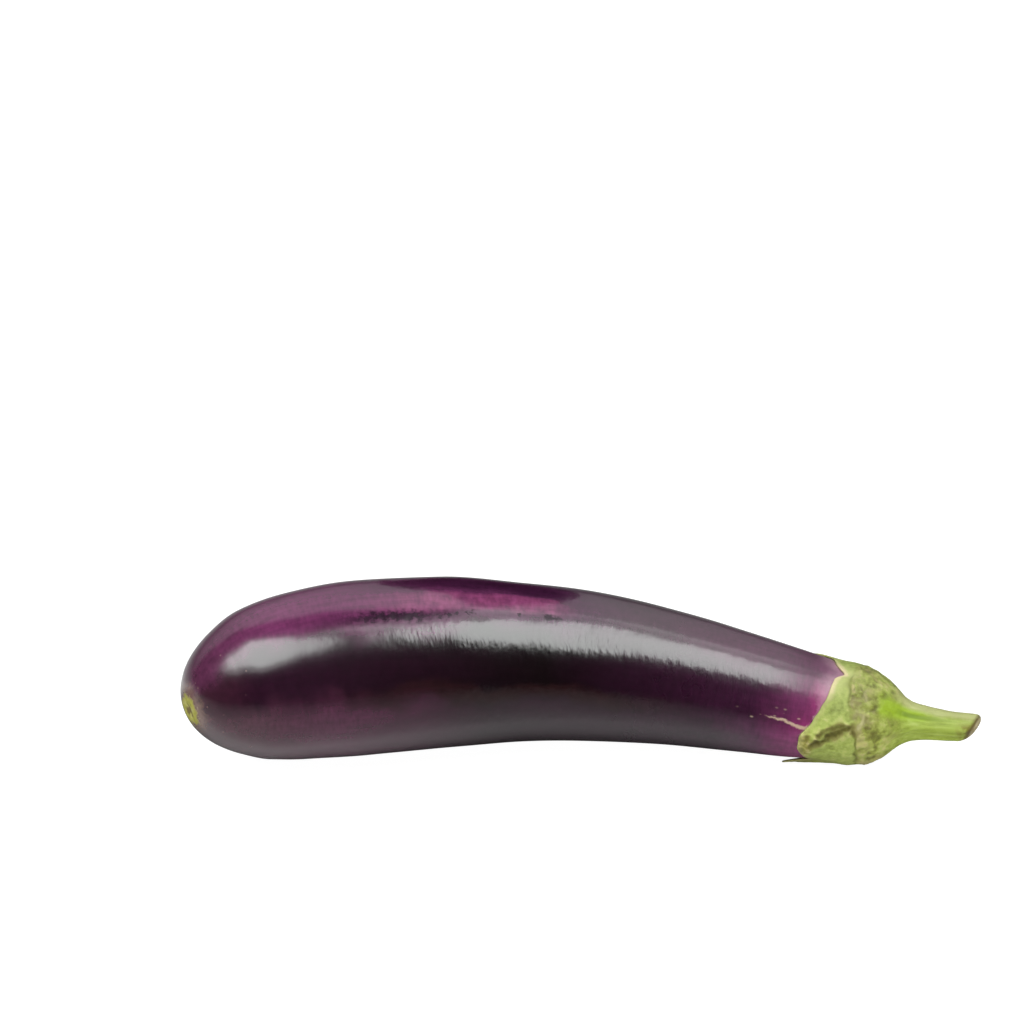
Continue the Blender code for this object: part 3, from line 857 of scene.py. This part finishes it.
def calyx_flesh():
    """Calyx and stalk: a leathery green leaf base with a dull, slightly hairy surface, drying at its edges.

    The eye gets yellow-green mottled with olive and tan, with painted shade in every dip and painted light
    on lower surfaces, brown scuffs past the step, brown folds, a cream notch, brighter green where the cup
    narrows, and a pale cut with a brown rim.
    """
    material, tree, shader = new_material("leathery_green_calyx", IOR=1.45, Roughness=0.58)
    node = partial(add_node, tree)
    grown, along, up, degrees = skin_places(node)
    marks = ("from_edge", "past_step", "step", "fold", "relief", "roll", "face")
    from_edge, past_step, step, fold, relief, roll, face = [
        node("Attribute", attribute_name=mark).outputs["Fac"] for mark in marks
    ]

    # Mottling: patches 4 mm long, speckled at 1.7 mm, with painted light on each crest and painted shade in
    # each dip.
    patches = node("TexNoise", grown, 1 / 4, 4, 0.6)
    speckle = node("TexNoise", grown, 1 / 1.7, 2, 0.55)
    mottle = node("Mix FLOAT", 0.45, patches, speckle)
    mottle_and_relief_shade = node("Math MULTIPLY_ADD", relief, 0.4, mottle)
    hue = node("TexNoise", grown, 1 / 5, 2, 0.5, sockets={"Distortion": 0.8})
    colour = cup_and_lobes(node, past_step, mottle_and_relief_shade, hue)

    # The stalk is streaked lengthwise by fibres 0.8 mm apart and 12 mm long, and has bleached on top.
    drawn = node("VectorMath MULTIPLY", grown, (1 / 12, 1 / 0.8, 1 / 0.8))
    fibres = node("TexNoise", drawn, 1, 3, 0.55)
    streak = node("Mix FLOAT", 0.35, fibres, patches)
    stalk = node("ValToRGB", streak, stops=STALK)
    bleached = node("Math MULTIPLY_ADD", patches, 30, degrees)
    bleached = node("MapRange", bleached, 78, 96, 0, 0.8, **SMOOTH)
    stalk = node("Mix RGBA", bleached, stalk, "9E9E6C")
    on_stalk = node("MapRange", along, 199, 206, 0, 0.9, **SMOOTH)
    fresh = fresh_shoulder(node, along, degrees, mottle)
    groove = dark_groove(node, along, degrees)
    scuff = scuffed_band(node, grown, degrees, past_step)
    rubbed = node("ValToRGB", hue, stops=RUBBED)
    for cover, paint in ((on_stalk, stalk), (fresh, "869E20"), (groove, "5A7010"), (scuff, rubbed)):
        colour = node("Mix RGBA", cover, colour, paint)

    # Lower and back surfaces are painted paler, as painted light from the front, and the lowest ones are
    # painted olive in patches, as painted shade by the table.
    ring = node("VectorMath MULTIPLY", grown, (0, 1, 1))
    ring = node("VectorMath NORMALIZE", ring)
    rising = node("SeparateXYZ", ring).outputs[2]
    paler = node("MapRange", rising, 0.68, -0.1, 1, 1.54, **SMOOTH)
    colour = node("VectorMath SCALE", colour, sockets={"Scale": paler})
    low = node("MapRange", up, -13.5, -4, 0.95, 0)
    low = varied(node, low, patches, 0.4, 0.6, 0.25, 1)

    # The folds lie in dried tan skin. The groove of the step and the folds have browned, and the deepest
    # dips are painted darker as shade. The rolled tip is dry and tan. The thin edge is cream at the upper
    # notch, and only paler elsewhere.
    halo = node("MapRange", fold, 0.02, 0.25, 0, 0.8, **SMOOTH)
    halo = varied(node, halo, speckle, 0.4, 0.56, 0.35, 1)
    painted_dip_shade = node("MapRange", relief, -0.08, -0.22, 0, 0.4)
    creased = varied(node, fold, speckle, 0.3, 0.56, 0.4, 0.95)
    brown = varied(node, step, patches, 0.35, 0.62, 0.25, 0.95)
    for cover in (creased, painted_dip_shade):
        brown = node("Math MAXIMUM", brown, cover)
    dried = node("ValToRGB", speckle, stops=DRIED)
    tan = node("MapRange", roll, 0.15, 0.7, 0, 0.85)
    border, cream = edge_covers(node, degrees, from_edge, speckle)
    stained, rim, wood = cut_end(node, along, degrees, face, mottle, patches, speckle)
    pith = node("ValToRGB", speckle, stops=((0.3, "8A7A50"), (0.5, "B0A27C"), (0.7, "C6BB98")))
    worn_and_painted_shade = (
        (low, "635E2C"), (halo, "918650"), (brown, "56521E"), (tan, dried), (creased, "56521E"),
        (border, "A6AA6C"), (cream, "C6B68E"), (stained, "6E6222"), (rim, "5C4A2A"), (wood, pith),
    )
    for cover, paint in worn_and_painted_shade:
        colour = node("Mix RGBA", cover, colour, paint)

    # Heights in millimetres: fine leathery grain, speckle, and the stalk's fibres.
    grain = node("TexNoise", grown, 1 / 0.5, 2, 0.6)
    height = node("Math MULTIPLY", grain, 0.05)
    height = node("Math MULTIPLY_ADD", speckle, 0.16, height)
    height = node("Math MULTIPLY_ADD", fibres, 0.09, height)
    bump = node("Bump", sockets={"Strength": 1, "Distance": MM, "Height": height})
    finish_with(tree, shader, Base_Color=colour, Normal=bump)
    return material


# ---- the pieces


def add_object(name, data):
    """A new object in the scene."""
    thing = bpy.data.objects.new(name, data)
    bpy.context.scene.collection.objects.link(thing)
    return thing


def add_piece(name, mesh, material):
    """A finished piece: it rides on the part's only body and stands for the CAD node of its name."""
    mesh.materials.append(material)
    piece = add_object(name + "_finished", mesh)
    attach(piece, "root")
    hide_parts(name)


def add_eggplant():
    fruit = grown_skin("fruit_skin", FRUIT_ROWS, FRUIT_COLUMNS, fruit_shape)
    add_piece("fruit", fruit, waxed_skin())
    calyx_rows = INNER_ROWS + RIM_ROWS + OUTER_ROWS + STALK_ROWS + END_ROWS
    calyx = grown_skin("calyx_skin", calyx_rows, CALYX_COLUMNS, calyx_shape)
    add_piece("calyx_and_stalk", calyx, calyx_flesh())


# ---- floor, light and camera

LENS = 100
CAMERA_PLACE = (-0.0185, -0.62868, 0.51691)
CAMERA_TARGET = (-0.0185, 0.03701, 0.05079)
# (name, middle, width, depth, brightness against white paper); an edge is dimmer and lies round its softbox
SOFTBOXES = (
    ("left_softbox", (-0.75, -0.265, 1), 1.27, 0.82, 3.55),
    ("left_softbox_edge", (-0.88, -0.34, 1.02), 1.56, 1.16, 1.35),
    ("middle_softbox", (-0.05, 0.01, 1.04), 0.3, 0.18, 1.3),
    ("right_softbox", (0.5, -0.15, 1.01), 0.86, 0.76, 4),
    ("right_softbox_edge", (0.55, -0.03, 1.03), 1.12, 1.26, 1.2),
)
SOFTBOX_COLOUR = (0.96, 1, 0.975)
# name, middle, size and brightness of the fill, which leaves no reflection
FILL = ("front_fill", (0.1, -1.5, 0.35), 1.6, 3.4)
# (distance from the middle line in metres, colour) of the paper, as the eggplant mirrors it: painted shade,
# darkest at the middle line as a painted contact shadow, and darker far out as painted falloff of the light
PAPER_SHADES = (
    (0, "4C4C4C"), (0.012, "6A6A6A"), (0.02, "969696"), (0.028, "A8A8A8"), (0.035, "969696"),
    (0.045, "868686"), (0.055, "7E7E7E"), (0.07, "767676"), (0.1, "6C6C6C"), (0.15, "5E5E5E"),
    (0.3, "464646"),
)
CHALKY = {"Roughness": 1, "Specular_IOR_Level": 0}  # a finish with no shine at all
PAPER_REACH = 6
BOUNCE_REACH = 2
BOUNCE_DROP = 0.0002  # between the two layers of paper
# Corners (x, z) of a black card that stands behind the middle of the fruit
FLAG = ((-0.058, 0.03), (0.008, 0.03), (0.008, 0.16), (-0.03, 0.092), (-0.058, 0.058))
FLAG_BEHIND = 0.062
FLAG_ROUND = 0.024  # how far its corners are rounded off
WALL_WARDS = (0.4, 1, -0.5)  # towards the pale wall, which fills that half of the room
DARK_ROOM = 0.01  # brightness of the other half


def add_sheet(name, corners, material, unseen_by, rounding=0):
    """A flat sheet of the studio through the given corners, with no effect on the named kinds of ray.

    Its corners may be rounded off.
    """
    shell = bmesh.new()
    shell.faces.new([shell.verts.new(corner) for corner in corners])
    if rounding:
        ends = list(shell.verts)
        bmesh.ops.bevel(
            shell, geom=ends, offset=rounding, segments=8, profile=0.5, affect="VERTICES", material=-1
        )
    mesh = bpy.data.meshes.new(name)
    shell.to_mesh(mesh)
    shell.free()
    mesh.materials.append(material)
    sheet = add_object(name, mesh)
    for ray in unseen_by:
        setattr(sheet, "visible_" + ray, False)


def square(reach, height):
    """The corners of a level square that reaches as far as this from the middle."""
    return [(x * reach, y * reach, height) for x, y in ((-1, -1), (1, -1), (1, 1), (-1, 1))]


def add_table():
    """White paper in two layers: one for the camera, with faint shadows, and one that throws light back."""
    glow = {"Base_Color": "808080", "Emission_Color": "FFFFFF", "Emission_Strength": 0.95}
    material = new_material("backlit_white_paper", **CHALKY, **glow)[0]
    add_sheet("table_shown", square(PAPER_REACH, 0), material, ("diffuse", "glossy", "shadow"))

    material, tree, shader = new_material("white_paper_in_falling_light", **CHALKY)
    node = partial(add_node, tree)
    place = node("TexCoord").outputs["Object"]
    side, level, _ = node("SeparateXYZ", place).outputs
    away = node("Math ABSOLUTE", level)
    last = PAPER_SHADES[-1][0]
    away = node("MapRange", away, 0, last)
    shade = node("ValToRGB", away, stops=[(distance / last, colour) for distance, colour in PAPER_SHADES])
    # The paper is also painted brighter past the blossom end, as painted light.
    brighter = node("MapRange", side, -0.11, -0.03, 1.35, 1)  # past the blossom end
    shade = node("VectorMath SCALE", shade, sockets={"Scale": brighter})
    finish_with(tree, shader, Base_Color=shade)
    add_sheet("table_bounce", square(BOUNCE_REACH, -BOUNCE_DROP), material, ("camera",))


def add_flag():
    """A black card that keeps the wall's light off the fruit's shoulder, out of the camera's sight."""
    material = new_material("black_velvet_card", Base_Color="120A10", **CHALKY)[0]
    corners = [(x, FLAG_BEHIND, z) for x, z in FLAG]
    add_sheet("black_flag", corners, material, ("camera", "diffuse", "shadow"), FLAG_ROUND)


def add_lamp(name, middle, width, depth, brightness):
    """An oval lamp that faces down until it is turned; its brightness is against white paper."""
    light = bpy.data.lights.new(name, "AREA")
    light.shape = "ELLIPSE"
    light.size = width
    light.size_y = depth
    light.energy = brightness * math.pi * width * depth * math.pi / 4  # pi, and the oval's area
    lamp = add_object(name, light)
    lamp.location = middle
    return lamp


def add_lights():
    """Oval softboxes over the table, and a broad fill that leaves no reflection."""
    for name, middle, width, depth, brightness in SOFTBOXES:
        lamp = add_lamp(name, middle, width, depth, brightness)
        lamp.data.color = SOFTBOX_COLOUR
    name, middle, size, brightness = FILL
    lamp = add_lamp(name, middle, size, size, brightness)
    lamp.rotation_euler = (-Vector(middle)).to_track_quat("-Z", "Y").to_euler()
    lamp.visible_glossy = False


def add_surroundings():
    """A white room to the camera. The fruit mirrors a pale wall behind it, and a dark room elsewhere."""
    world = bpy.data.worlds.new("studio")
    bpy.context.scene.world = world
    world.use_nodes = True
    tree = world.node_tree
    node = partial(add_node, tree)
    direction = node("TexCoord").outputs["Generated"]
    behind = node("VectorMath DOT_PRODUCT", direction, WALL_WARDS)
    wall = node("MapRange", behind, -0.02, 0.12, **SMOOTH)
    side, _, height = node("SeparateXYZ", direction).outputs
    rise = node("MapRange", height, 0, 0.9, 0.2, 0.96)
    left = node("MapRange", side, -0.2, 0.15, 0.8, 1)
    shade = node("Math MULTIPLY", rise, left)
    wall = node("Math MULTIPLY_ADD", wall, shade, DARK_ROOM)
    rays = node("LightPath")
    strength = node("Mix FLOAT", rays.outputs["Is Camera Ray"], wall, 1)
    background = tree.nodes["Background"]
    set_constant(background.inputs["Color"], "FFFFFF")
    finish_with(tree, background, Strength=strength)


def add_camera():
    camera = add_object("camera", bpy.data.cameras.new("camera"))
    camera.data.lens = LENS
    camera.data.clip_start = 0.01
    camera.location = CAMERA_PLACE
    gaze = Vector(CAMERA_TARGET) - Vector(CAMERA_PLACE)
    camera.rotation_mode = "QUATERNION"
    camera.rotation_quaternion = gaze.to_track_quat("-Z", "Y")
    bpy.context.scene.camera = camera
    bpy.context.scene.view_settings.view_transform = "Standard"


add_camera()
add_eggplant()
add_table()
add_flag()
add_lights()
add_surroundings()
